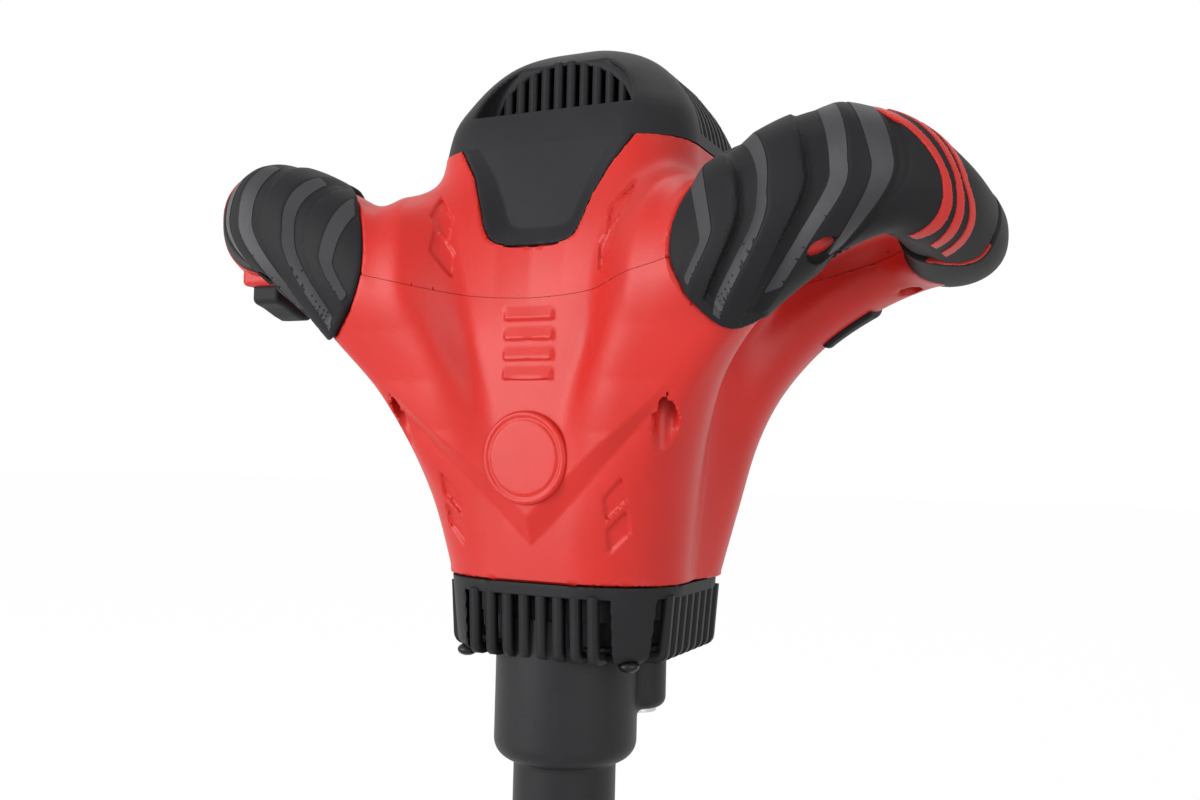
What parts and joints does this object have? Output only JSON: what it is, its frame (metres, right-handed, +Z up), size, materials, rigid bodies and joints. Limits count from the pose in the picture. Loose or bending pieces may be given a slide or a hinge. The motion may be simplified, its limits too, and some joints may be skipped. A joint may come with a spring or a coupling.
{
  "type": "mixing drill",
  "caption": "Hand-held mixing drill: red housing with looped rubber grips on both sides, trigger under one grip, vented collar and cap, and a clamp neck with a threaded tool socket.",
  "frame": {"origin": "centre of the mouth of the spindle's tool socket", "axes": "+Z up the spindle axis from the tool socket to the cap, -Y to the front of the drill, -X to the loop with the trigger"},
  "size_m": [0.3462, 0.1507, 0.369],
  "materials": {
    "red_plastic": "satin red glass-filled plastic with a fine moulded texture",
    "black_plastic": "charcoal black plastic with a fine moulded texture",
    "grip_rubber": "matte soft rubber",
    "cast_black": "satin black paint on a casting",
    "steel": "turned and ground",
    "dark_screw": "black oxide",
    "aluminium": "cast",
    "lamination": "stacked sheet",
    "copper": "enamelled wire",
    "magnet": "nickel plated",
    "board_green": "circuit board",
    "seal_rubber": "matte"
  },
  "bodies": {
    "housing": {"gear_case": "cast_black", "lower_spindle_bearing": "steel", "upper_spindle_bearing": "steel", "spindle_seal": "seal_rubber", "bearing_circlip": "steel", "idler_lower_bearing": "steel", "idler_upper_bearing": "steel", "motor_bracket": "aluminium", "lower_rotor_bearing": "steel", "motor_sleeve": "aluminium", "stator_core": "lamination", "stator_windings": "copper", "motor_end_bracket": "aluminium", "upper_rotor_bearing": "steel", "board_posts": "black_plastic", "control_board": "board_green", "heat_sink": "aluminium", "capacitors": "black_plastic", "lower_housing": "red_plastic", "upper_housing": "red_plastic", "plain_lower_handle": "red_plastic", "trigger_lower_handle": "red_plastic", "plain_upper_handle": "red_plastic", "trigger_upper_handle": "red_plastic", "plain_grip_cover": "grip_rubber", "plain_bumper": "grip_rubber", "trigger_grip_cover": "grip_rubber", "trigger_bumper": "grip_rubber", "rest_pads": "grip_rubber", "body_screws": "dark_screw", "handle_screws": "dark_screw", "front_badge": "red_plastic", "vent_collar": "black_plastic", "collar_screws": "dark_screw", "motor_cap": "black_plastic", "cap_screws": "dark_screw", "cap_shield": "black_plastic", "switch_module": "black_plastic", "trigger_spring": "steel", "lock_spring": "steel", "dial_pin": "steel", "dial_potentiometer": "black_plastic", "cable_inlet": "seal_rubber"},
    "spindle": {"spindle": "steel", "spindle_gear": "steel", "gear_circlip": "steel"},
    "idler": {"idler_shaft": "steel", "idler_gear": "steel"},
    "rotor": {"rotor_shaft": "steel", "rotor_core": "lamination", "rotor_magnets": "magnet", "cooling_fan": "black_plastic"},
    "trigger": {"trigger": "black_plastic"},
    "lock_button": {"lock_button": "black_plastic"},
    "speed_dial": {"speed_dial": "black_plastic"}
  },
  "joints": [
    {"name": "rotor_spin", "type": "hinge", "parent": "housing", "child": "rotor", "pos_m": [0, 0.017, 0.2], "axis": [0, 0, 1], "continuous": true},
    {"name": "idler_spin", "type": "hinge", "parent": "housing", "child": "idler", "pos_m": [0.02354, 0.02168, 0.1], "axis": [0, 0, 1], "continuous": true},
    {"name": "spindle_spin", "type": "hinge", "parent": "housing", "child": "spindle", "pos_m": [0, 0, 0.05], "axis": [0, 0, 1], "continuous": true},
    {"name": "trigger_press", "type": "slide", "parent": "housing", "child": "trigger", "axis": [0, 0, 1], "range_m": [0, 0.006], "stiffness_N_per_m": 800, "springref_m": -0.003, "deforming": ["trigger_spring"]},
    {"name": "lock_press", "type": "slide", "parent": "housing", "child": "lock_button", "axis": [-1, 0, 0], "range_m": [0, 0.0016], "stiffness_N_per_m": 500, "springref_m": -0.002, "deforming": ["lock_spring"]},
    {"name": "dial_turn", "type": "hinge", "parent": "housing", "child": "speed_dial", "pos_m": [0, 0.06539, 0.268], "axis": [1, 0, 0], "range_deg": [-135, 135]}
  ],
  "couplings": [
    {"joint": "idler_spin", "follows": "rotor_spin", "ratio": -0.2},
    {"joint": "spindle_spin", "follows": "rotor_spin", "ratio": 0.066667}
  ]
}
